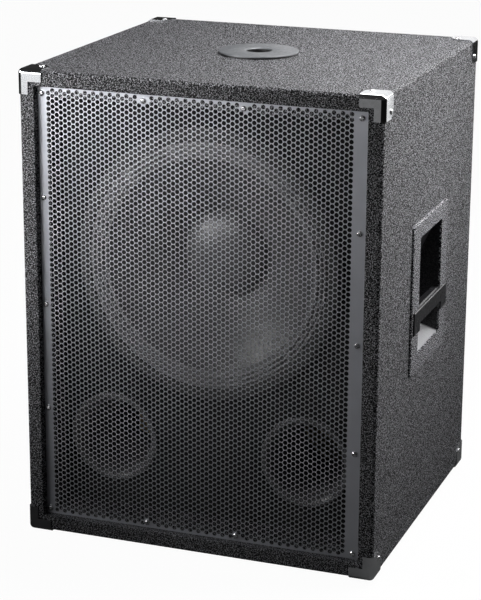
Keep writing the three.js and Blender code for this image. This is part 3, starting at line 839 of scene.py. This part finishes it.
def make_grille_screws():
    """Each grille screw is turned a little further than the one before, as hands leave them."""
    low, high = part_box(SCREW_NAMES[0])
    seat = GRILLE_LOW.y
    turn_step = math.radians(37)
    pattern = pan_screw("screw", HEAD_RADIUS, seat - low.y, SHANK_RADIUS, high.y - seat)
    for number, (name, (x, z)) in enumerate(zip(SCREW_NAMES, screw_places()), 1):
        place = Matrix.Translation((x, seat, z)) @ Matrix.Rotation(turn_step * number, 4, "Y")
        stand_for(placed_copy(pattern, f"pan_screw_{number}", place), name)
    bpy.data.objects.remove(pattern)


# ---- corner protectors ----
CORNER_GAP = 0.3 * MM
CORNER_THICK = 1.5 * MM
CORNER_PLATE = 34 * MM
CORNER_SCREW_INSET = 24 * MM


def grown_shell(name, grow):
    """The cabinet's rounded outside, grown by an amount, as one solid."""
    low = SHELL_LOW - Vector((grow, grow, grow))
    high = SHELL_HIGH + Vector((grow, grow, grow))
    return soft_block(name, low, high, EDGE + grow, 8)


def plate(name, along, corners, reach):
    """A flat cutting plate drawn on two axes and reaching along the third."""
    rings = []
    for depth in reach:
        ring = []
        for corner in corners:
            place = [depth] * 3
            place[along[0]], place[along[1]] = corner
            ring.append(place)
        rings.append(ring)
    return loft(name, rings)


def make_corners():
    """A pressed corner: a top and a side plate with a clipped corner, and a narrow L over the board edges."""
    wrap = 7 * MM
    arm_high = 16 * MM
    arm_wide = 14 * MM
    clip = 9 * MM
    out = 4 * MM
    seat = CORNER_GAP + CORNER_THICK
    x2, y2, z2 = SHELL_HIGH.x + out, SHELL_LOW.y - out, SHELL_HIGH.z + out
    right, front, top = SHELL_HIGH.x, SHELL_LOW.y, SHELL_HIGH.z
    x0, y0, z0 = right - CORNER_PLATE, front + CORNER_PLATE, top - CORNER_PLATE
    arm_x, arm_z = right - arm_wide, top - arm_high
    on_top = plate("top", (0, 1), [(x2, y2), (x0, y2), (x0, y0 - clip), (x0 + clip, y0), (x2, y0)],
                   (top - wrap, z2))
    on_side = plate("side", (1, 2), [(y2, z2), (y0, z2), (y0, z0 + clip), (y0 - clip, z0), (y2, z0)],
                    (right - wrap, x2))
    on_front = plate("front", (0, 2), [
        (x2, z2), (x0, z2), (x0, arm_z), (arm_x, arm_z), (arm_x, z0), (x2, z0),
    ], (y2, front + wrap))
    corner = grown_shell("corner", seat)
    boolean(corner, grown_shell("inside", CORNER_GAP))
    cover = boolean(boolean(on_top, on_side, "UNION"), on_front, "UNION")
    boolean(corner, cover, "INTERSECT")
    shade(corner, 30)
    screw = pan_screw("screw", radius=3.8 * MM, height=1.6 * MM, shank=1.6 * MM, length=8 * MM)
    x, y, z = right - CORNER_SCREW_INSET, front + CORNER_SCREW_INSET, top - CORNER_SCREW_INSET
    down = Matrix.Translation((x, y, top + seat)) @ Matrix.Rotation(-math.pi / 2, 4, "X")
    inwards = Matrix.Translation((right + seat, y, z)) @ Matrix.Rotation(math.pi / 2, 4, "Z")
    screws = joined(placed_copy(screw, "top_screw", down), placed_copy(screw, "side_screw", inwards))
    shade(screws)
    for side, sx in SIDES:
        for depth, sy in (("front", 1), ("back", -1)):
            for height, sz in (("bottom", -1), ("top", 1)):
                label = f"{depth}_{height}_{side}"
                copy = mirrored(corner, f"corner_cap_{label}", (sx, sy, sz))
                even_normals(copy)
                stand_for(copy, f"corner_{label}")
                extra(mirrored(screws, f"corner_screws_{label}", (sx, sy, sz)), "screw_steel")
    for used in (corner, screw, screws):
        bpy.data.objects.remove(used)


# ---- driver ----
FRAME_RADIUS = BASKET_HIGH.x
FRAME_FRONT = BASKET_LOW.y
CLOTH_THICK = 1.2 * MM
SURROUND_RADII = (152 * MM, 156 * MM, 174.5 * MM, FRAME_RADIUS - 5 * MM)
CONE_NECK = 51.5 * MM
CONE_RIM = 151 * MM
CONE_LIP = 155 * MM
CONE_EDGE_Y = BAFFLE_FRONT - 2 * MM
CONE_NECK_Y = BAFFLE_FRONT + 82 * MM
CAP_RADIUS = 63 * MM
SPIDER_Y = BAFFLE_FRONT + 100 * MM
SPIDER_RADII = (51.6 * MM, 53 * MM, 87 * MM, 92 * MM)


def ring(name, node, inner, soft):
    """A turned ring that fills a CAD node's box, with rounded edges."""
    low, high, _, outer = measure(node)
    turned_part(name, node, filleted([
        (inner, low.y, soft), (outer, low.y, soft), (outer, high.y, soft), (inner, high.y, soft),
    ]))


def sheet_outline(front, thick):
    """A closed outline from its front points, thickened in +y."""
    return front + [(radius, y + thick) for radius, y in reversed(front)]


def shares(steps):
    """Even steps from 0 to 1."""
    return [i / steps for i in range(steps + 1)]


def cone_y(radius):
    """The cone's front surface at a radius: a straight side that bows forwards."""
    bow = 3 * MM
    along = (radius - CONE_NECK) / (CONE_RIM - CONE_NECK)
    return CONE_NECK_Y + along * (CONE_EDGE_Y - CONE_NECK_Y) - bow * math.sin(along * math.pi)


def make_cone():
    radii = [CONE_NECK + (CONE_RIM - CONE_NECK) * along for along in shares(40)]
    front = [(radius, cone_y(radius)) for radius in radii] + [(CONE_LIP, CONE_EDGE_Y)]
    turned_part("paper_cone", "driver_cone", sheet_outline(front, 1.4 * MM))


def make_dust_cap():
    height = 20 * MM
    glue = 2.2 * MM
    sunk = 1.5 * MM
    rim = cone_y(CAP_RADIUS) - sunk
    dome = [((CAP_RADIUS - glue) * (1 - drop), rim - height * (1 - inset)) for inset, drop in quarter(16)]
    front = dome + [(CAP_RADIUS, rim + 0.2 * MM)]
    turned_part("dust_dome", "driver_dust_cap", sheet_outline(front, 1.2 * MM), sharp=50)


def flexing_ring(name, node, radii, levels, lift, steps, thick, segments):
    """A cloth ring whose pleats take up the cone's travel.

    Its radii are its inner edge, the start and end of its pleats and its outer edge.
    """
    inner, start, end, outer = radii
    low, high = levels
    front = [(inner, low)]
    for along in shares(steps):
        front.append((start + along * (end - start), low + along * (high - low) - lift(along)))
    front.append((outer, high))
    piece = turned(name, sheet_outline(front, thick), AXIS, segments=segments)
    shade(piece, 60)
    paint(piece, "pleated_cloth")
    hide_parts(node)
    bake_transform(piece)


def make_surround():
    """Three pleats of doped cloth between the cone's lip and the frame."""
    def lift(along):
        return 4 * MM * abs(math.sin(3 * along * math.pi)) ** 0.8

    levels = (CONE_EDGE_Y - CLOTH_THICK - 0.3 * MM, FRAME_FRONT - CLOTH_THICK)
    flexing_ring("cloth_surround", "driver_surround", SURROUND_RADII, levels, lift, 36, CLOTH_THICK, 128)


def make_spider():
    """Four shallow waves of doped cloth round the voice coil's former."""
    def lift(along):
        return 3 * MM * math.sin(4 * along * math.pi) ** 2

    flexing_ring("cloth_spider", "driver_spider", SPIDER_RADII, (SPIDER_Y, SPIDER_Y), lift, 48, 1 * MM, 96)


def make_basket():
    """The pressed frame: a flat ring, a sloped wall with six windows and a drum down to the magnet."""
    wall = 3.5 * MM
    inner = 171.5 * MM
    throat = 98 * MM
    drum = throat - 6 * MM
    shelf = 80 * MM
    shelf_y = SPIDER_Y + 1.5 * MM
    collar = BAFFLE_BACK + 4 * MM
    seat = 56 * MM
    back = BASKET_HIGH.y
    soft = 1.5 * MM
    bend = 6 * MM
    basket = turned("pressed_frame", filleted([
        (FRAME_RADIUS, FRAME_FRONT, soft), (FRAME_RADIUS, BAFFLE_FRONT, 0), (inner + wall, BAFFLE_FRONT, 0),
        (inner + wall, collar, bend), (throat + wall, shelf_y, bend), (throat + wall, back, soft),
        (seat, back, 0), (seat, back - wall, 0), (drum, back - wall, soft), (drum, shelf_y + wall, 0),
        (shelf, shelf_y + wall, 0), (shelf, shelf_y, 0), (throat, shelf_y, 0), (inner, collar, bend),
        (inner, FRAME_FRONT, soft),
    ]), AXIS)
    windows = 6
    start, end = collar + 2 * MM, SPIDER_Y - 8 * MM
    near, far, narrow, wide = 104 * MM, 185 * MM, 34 * MM, 66 * MM
    tight = 8 * MM
    corners = filleted([(near, -narrow, tight), (far, -wide, 0), (far, wide, 0), (near, narrow, tight)])
    for i in range(windows):
        window = loft("window", [[(u, y, v) for u, v in corners] for y in (start, end)])
        turn = Matrix.Rotation((i + 0.5) * 2 * math.pi / windows, 4, "Y")
        window.data.transform(Matrix.Translation(AXIS) @ turn)
        boolean(basket, window)
    shade(basket)
    even_normals(basket)
    stand_for(basket, "driver_basket")


def make_frame_bolts():
    """Eight cross-head bolts through the gasket and the frame ring."""
    count = 8
    radius = 186 * MM
    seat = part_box("driver_gasket")[0].y
    head = pan_screw("bolt", radius=4 * MM, height=2.4 * MM, shank=2 * MM, length=22 * MM)
    bolts = []
    for i in range(count):
        angle = 2 * math.pi * (i + 0.5) / count
        place = (radius * math.cos(angle), seat, DRIVER_Z + radius * math.sin(angle))
        bolts.append(placed_copy(head, "bolt", Matrix.Translation(place)))
    bpy.data.objects.remove(head)
    bolts = joined(*bolts)
    bolts.name = "frame_bolts"
    shade(bolts)
    extra(bolts, "basket_paint")


def make_motor():
    ring("motor_top_plate", "driver_top_plate", inner=52.8 * MM, soft=1 * MM)
    ring("ferrite_ring", "driver_magnet", inner=58.8 * MM, soft=1.5 * MM)
    low, high, _, outer = measure("driver_back_plate")
    vent = 16 * MM
    pole = 49 * MM
    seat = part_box("driver_magnet")[1].y
    turned_part("motor_yoke", "driver_back_plate", filleted([
        (vent, low.y, 2 * MM), (pole, low.y, 1 * MM), (pole, seat, 0), (outer, seat, 0),
        (outer, high.y, 2 * MM), (vent, high.y, 3 * MM),
    ]))


def make_voice_coil():
    """A former with wire wound on its end."""
    low, high, _, outer = measure("driver_voice_coil")
    inner = 50 * MM
    former = inner + 0.8 * MM
    end = high.y - 2 * MM
    start = end - 18 * MM
    turns = 24
    wire = ((0.0, 0.0), (0.25, 0.8), (0.5, 1.0), (0.75, 0.8))     # (share of a turn, share of its bulge)
    winding = []
    for i in range(turns):
        for share, lift in wire:
            y = start + (end - start) * (i + share) / turns
            winding.append((former + (outer - former) * (0.5 + 0.5 * lift), y))
    outline = [(inner, low.y), (former, low.y), (former, start), *winding, (former, end), (former, high.y),
               (inner, high.y)]
    turned_part("coil_winding", "driver_voice_coil", outline, sharp=60)


# ---- ports ----
def make_ports():
    """Moulded tubes with a trumpet mouth."""
    bore = 52 * MM
    outside = bore + 3 * MM
    flare = 12 * MM
    flare_deep = 18 * MM
    shoulder = 4.5 * MM
    edge = 1 * MM
    lip = 2 * MM
    plastic = finished("port_plastic", port_plastic)
    for side, _ in SIDES:
        low, high, middle, rim = measure(f"port_tube_{side}")
        outline = [(bore + flare * wide, low.y + flare_deep * deep) for deep, wide in quarter(12)]
        outline += [(bore, high.y - edge), (bore + edge, high.y), (outside, high.y),
                    (outside, low.y + flare_deep), (outside + shoulder, BAFFLE_FRONT), (rim, BAFFLE_FRONT)]
        outline += arc((rim - lip, low.y + lip), lip, 0, -90, 4)
        port = turned_part(f"moulded_port_{side}", f"port_tube_{side}", outline, (middle.x, 0, middle.z))
        port.data.materials[0] = plastic


# ---- rear connectors ----
def make_sockets():
    """Twist-lock sockets: a square flange, a round mouth with a centre post and two key slots."""
    post, mouth, opening, body = 5 * MM, 9 * MM, 10.2 * MM, 11.4 * MM
    deep = 18 * MM
    key_wide, key_tall, key_deep, key_half = 1 * MM, 1.4 * MM, 9 * MM, 1.6 * MM
    flange_thick = 3 * MM
    soft = 1 * MM
    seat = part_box("connector_dish")[0].y + flange_thick
    for number in (1, 2):
        node = f"speaker_socket_{number}"
        low, high, middle, _ = measure(node)
        centre = Vector((middle.x, 0, middle.z))
        socket = soft_block("flange", (low.x, seat, low.z), (high.x, seat + flange_thick, high.z), soft, 3)
        barrel = turned("barrel", filleted([
            (0, low.y, 0), (body, low.y, soft), (body, high.y, soft), (mouth, high.y, 0.8 * MM),
            (mouth, high.y - deep, 0), (post, high.y - deep, 0), (post, high.y, soft), (0, high.y, 0),
        ]), centre, segments=64)
        near, far = low.y + 6 * MM, high.y * 2
        well = turned("well", [(0, near), (opening, near), (opening, far), (0, far)], centre, segments=64)
        boolean(socket, well)
        boolean(socket, barrel, "UNION")
        for turn in (45, 225):
            key = block("key", (mouth - key_wide, high.y - key_deep, -key_half),
                        (mouth + key_tall, high.y + key_deep, key_half))
            key.data.transform(Matrix.Translation(centre) @ Matrix.Rotation(math.radians(turn), 4, "Y"))
            boolean(socket, key)
        weld(socket)
        socket.name = f"twist_socket_{number}"
        shade(socket)
        stand_for(socket, node)


# ---- feet, wadding and cable ----
def make_feet():
    """Turned rubber feet with a screw well in the tread."""
    well = 7 * MM
    deep = 6 * MM
    taper = 3 * MM
    for label in (f"{depth}_{side}" for side, _ in SIDES for depth in ("front", "back")):
        _, high, middle, seat = measure(f"foot_{label}")
        outline = filleted([
            (0, deep, 0), (well, deep, 0.5 * MM), (well, 0, 1 * MM), (seat - taper, 0, 1.5 * MM),
            (seat, high.z, 1 * MM), (0, high.z, 0),
        ])
        centre = (middle.x, middle.y, 0)
        turned_part(f"rubber_foot_{label}", f"foot_{label}", outline, centre, axis="Z", segments=64)


def make_wadding():
    """A loose pad: a rounded block whose surface swells and sags in lumps."""
    low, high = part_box("wadding")
    middle = (low + high) / 2
    half = (high - low) / 2
    across, up = 60, 42          # even, so that each quarter's cells split towards the middle
    fullness = 0.78
    lump_height = 0.12
    points, faces = [], []
    for face in (-1, 1):
        for j in range(up + 1):
            for i in range(across + 1):
                u, v = 2 * i / across - 1, 2 * j / up - 1
                edge = max(0.0, (1 - u ** 8) * (1 - v ** 8)) ** 0.3
                lumps = math.sin(11 * u + 2 * v) * math.sin(9 * v - 3 * u) + math.sin(23 * u * v + 5 * face)
                swell = face * edge * (fullness + lump_height * lumps)
                points.append((middle.x + u * half.x, middle.y + swell * half.y, middle.z + v * half.z))
    layer = (across + 1) * (up + 1)
    for face in (0, 1):
        for j in range(up):
            for i in range(across):
                a = face * layer + j * (across + 1) + i
                b, c, d = a + 1, a + across + 2, a + across + 1
                rising = (2 * i < across) == (2 * j < up)
                faces += [(a, b, c), (a, c, d)] if rising else [(a, b, d), (b, c, d)]
    pad = mesh_object("wool_pad", points, faces)
    shade(pad, 80)
    stand_for(pad, "wadding")


def make_cable():
    """A round lead that droops from the connector dish to the driver's frame."""
    low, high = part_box("speaker_cable")
    radius = 3.4 * MM
    inset = 4 * MM
    dish_z = measure("connector_dish")[2].z
    places = [(high.y, dish_z), (170 * MM, dish_z - 12 * MM), (80 * MM, dish_z - 30 * MM),
              (-20 * MM, dish_z + 10 * MM), (low.y + inset, high.z - inset)]
    curve = tuned(bpy.data.curves.new("lead", "CURVE"), dimensions="3D", bevel_depth=radius,
                  bevel_resolution=5, use_fill_caps=True)
    line = curve.splines.new("NURBS")
    line.points.add(len(places) - 1)
    for point, (y, z) in zip(line.points, places):
        point.co = (0, y, z, 1)
    tuned(line, order_u=4, use_endpoint_u=True, resolution_u=24)
    lead = new_object("lead", curve)
    mesh = bpy.data.meshes.new_from_object(lead.evaluated_get(bpy.context.evaluated_depsgraph_get()))
    bpy.data.objects.remove(lead)
    cable = new_object("rubber_lead", mesh)
    weld(cable)
    shade(cable, 60)
    stand_for(cable, "speaker_cable")


# ---- boards and dish ----
def make_boards():
    """Stands in for every CAD node not yet replaced: the same shape in a new mesh, its edges softened."""
    softer = {"back_panel": 1 * MM, "connector_dish": 1 * MM, "window_brace": 0.8 * MM}
    soft = 0.6 * MM
    nearly_flat = math.radians(0.5)
    an_edge = math.radians(40)
    for name, node in NODES.items():
        if node.hide_render:
            continue
        piece = placed_copy(node, f"{name}_softened", Matrix())
        tuned(piece.modifiers.new("merge", "WELD"), merge_threshold=1e-6)
        tuned(piece.modifiers.new("flat", "DECIMATE"), decimate_type="DISSOLVE", angle_limit=nearly_flat)
        tuned(piece.modifiers.new("bevel", "BEVEL"), width=softer.get(name, soft), segments=2,
              limit_method="ANGLE", angle_limit=an_edge)
        even_normals(piece)
        stand_for(piece, name)
        if name == "baffle_board":
            piece.data.materials[0] = finished("baffle_paint", baffle_paint)


# ---- stage, lights and camera ----
def emptied(owner, output):
    """The node tree of a material or world, left with a new output only."""
    owner.use_nodes = True
    owner.node_tree.nodes.clear()
    return owner.node_tree, owner.node_tree.nodes.new(output)


def grey_shader(tree, kind, grey):
    made = tree.nodes.new(kind)
    made.inputs["Color"].default_value = (grey, grey, grey, 1)
    return made


def mixed(tree, first, second):
    made = tree.nodes.new("ShaderNodeMixShader")
    tree.links.new(first.outputs[0], made.inputs[1])
    tree.links.new(second.outputs[0], made.inputs[2])
    return made


def split_by_ray(tree, output, felt, seen):
    """Shows the camera one shader and every other ray another."""
    rays = tree.nodes.new("ShaderNodeLightPath")
    choice = mixed(tree, felt, seen)
    tree.links.new(rays.outputs["Is Camera Ray"], choice.inputs["Fac"])
    tree.links.new(choice.outputs[0], output.inputs["Surface"])


def stage_surface(name, seen, felt):
    """A plain pale surface: the camera sees it nearly white, and it lights the object less than it shows."""
    material = bpy.data.materials.new(name)
    tree, output = emptied(material, "ShaderNodeOutputMaterial")
    pale = grey_shader(tree, "ShaderNodeBsdfDiffuse", 0.9)
    shown = mixed(tree, pale, grey_shader(tree, "ShaderNodeEmission", 1))
    shown.inputs["Fac"].default_value = seen
    split_by_ray(tree, output, grey_shader(tree, "ShaderNodeBsdfDiffuse", felt), shown)
    return material


def make_floor():
    half = 30
    corners = [(-half, -half, 0), (half, -half, 0), (half, half, 0), (-half, half, 0)]
    floor = mesh_object("floor", corners, [(0, 1, 2, 3)])
    floor.data.materials.append(stage_surface("floor", seen=0.97, felt=0.08))


def make_world(strength):
    """A backdrop that the camera sees white and that lights the object with a lower strength."""
    world = bpy.data.worlds.new("studio")
    bpy.context.scene.world = world
    tree, output = emptied(world, "ShaderNodeOutputWorld")
    light = grey_shader(tree, "ShaderNodeBackground", 1)
    light.inputs["Strength"].default_value = strength
    split_by_ray(tree, output, light, grey_shader(tree, "ShaderNodeBackground", 1))


def area_light(name, place, target, size, power, spread=180):
    """A softbox. A spread below 180 degrees narrows its light, as a honeycomb in front of it would."""
    lamp = tuned(bpy.data.lights.new(name, "AREA"), shape="RECTANGLE", size=size[0], size_y=size[1],
                 energy=power, spread=math.radians(spread))
    towards = (Vector(target) - Vector(place)).to_track_quat("-Z", "Y")
    tuned(new_object(name, lamp), location=place, rotation_mode="QUATERNION", rotation_quaternion=towards)


LIGHTS = (                       # name, place, target, size, watts and, where it is narrow, spread
    ("key_left", (-1.05, -0.9, 0.9), (-0.05, -0.2, 0.48), (0.35, 0.35), 1.35, 50),
    ("key_front_left", (-0.42, -1.3, 1.1), (-0.27, -0.24, 0.64), (0.4, 0.4), 0.65, 36),
    ("card_left", (-1.0, -1.6, 0.8), (-0.24, -0.24, 0.6), (0.6, 0.6), 0.6, 40),
    ("card_far_left", (-1.3, -2.2, 0.5), (-0.1, -0.24, 0.45), (1.2, 0.8), 1.2),
    ("card_low", (-0.45, -2.3, 0.3), (0.1, -0.24, 0.5), (0.7, 0.5), 0.2),
    ("card_corner", (-1.21, -2.21, 0.26), (-0.25, -0.247, 0.66), (0.35, 0.3), 0.2),
    ("overhead", (0.1, 0.3, 1.6), (0, 0, 0.69), (0.9, 0.6), 8.3),
    ("card_back", (0.45, 1.6, 1.35), (0, 0, 0.69), (2.4, 1.2), 9.5),
    ("card_back_right", (1.15, 1.7, 0.32), (0.26, 0, 0.5), (0.7, 0.5), 1.3),
    ("side_over", (0.55, 0.0, 1.3), (0.3, 0, 0.5), (0.3, 0.8), 9),
    ("side_high", (1.0, 0.2, 1.3), (0.26, 0, 0.6), (0.5, 0.5), 1.5, 50),
    ("side_back", (1.4, 1.6, 1.0), (0.26, 0, 0.6), (1.0, 1.0), 2.0, 40),
)
BACKDROP_LIGHT = 0.03


def make_lights():
    make_world(BACKDROP_LIGHT)
    for light in LIGHTS:
        area_light(*light)


CAMERA_PLACE = (0.9677, -2.7024, 1.1861)
CAMERA_AZIMUTH = math.radians(20.178)
CAMERA_ELEVATION = math.radians(16.835)
CAMERA_ROLL = math.radians(0.342)
CAMERA_LENS = 121.37             # millimetres, on a sensor 36 mm wide
CAMERA_SENSOR = 36


def make_camera():
    """The camera stands to the right of the cabinet's front and above it."""
    level_reach = math.cos(CAMERA_ELEVATION)
    back = Vector((math.sin(CAMERA_AZIMUTH) * level_reach, -math.cos(CAMERA_AZIMUTH) * level_reach,
                   math.sin(CAMERA_ELEVATION)))
    level = (-back).cross(Vector((0, 0, 1))).normalized()
    upright = level.cross(-back)
    right = math.cos(CAMERA_ROLL) * level + math.sin(CAMERA_ROLL) * upright
    up = -math.sin(CAMERA_ROLL) * level + math.cos(CAMERA_ROLL) * upright
    lens = tuned(bpy.data.cameras.new("camera"), sensor_width=CAMERA_SENSOR, lens=CAMERA_LENS)
    camera = new_object("camera", lens)
    turn = Matrix((right, up, back)).transposed().to_4x4()
    camera.matrix_world = Matrix.Translation(CAMERA_PLACE) @ turn
    bpy.context.scene.camera = camera


make_shell()
make_handle_cups()
make_handle_bars()
make_pole_socket()
make_grille()
make_grille_screws()
make_corners()
ring("frame_gasket", "driver_gasket", inner=176.5 * MM, soft=1.2 * MM)
make_surround()
make_cone()
make_dust_cap()
make_spider()
make_basket()
make_frame_bolts()
make_motor()
make_voice_coil()
make_ports()
make_sockets()
make_feet()
make_wadding()
make_cable()
make_boards()
make_floor()
make_lights()
make_camera()
bpy.context.scene.view_settings.view_transform = "Standard"
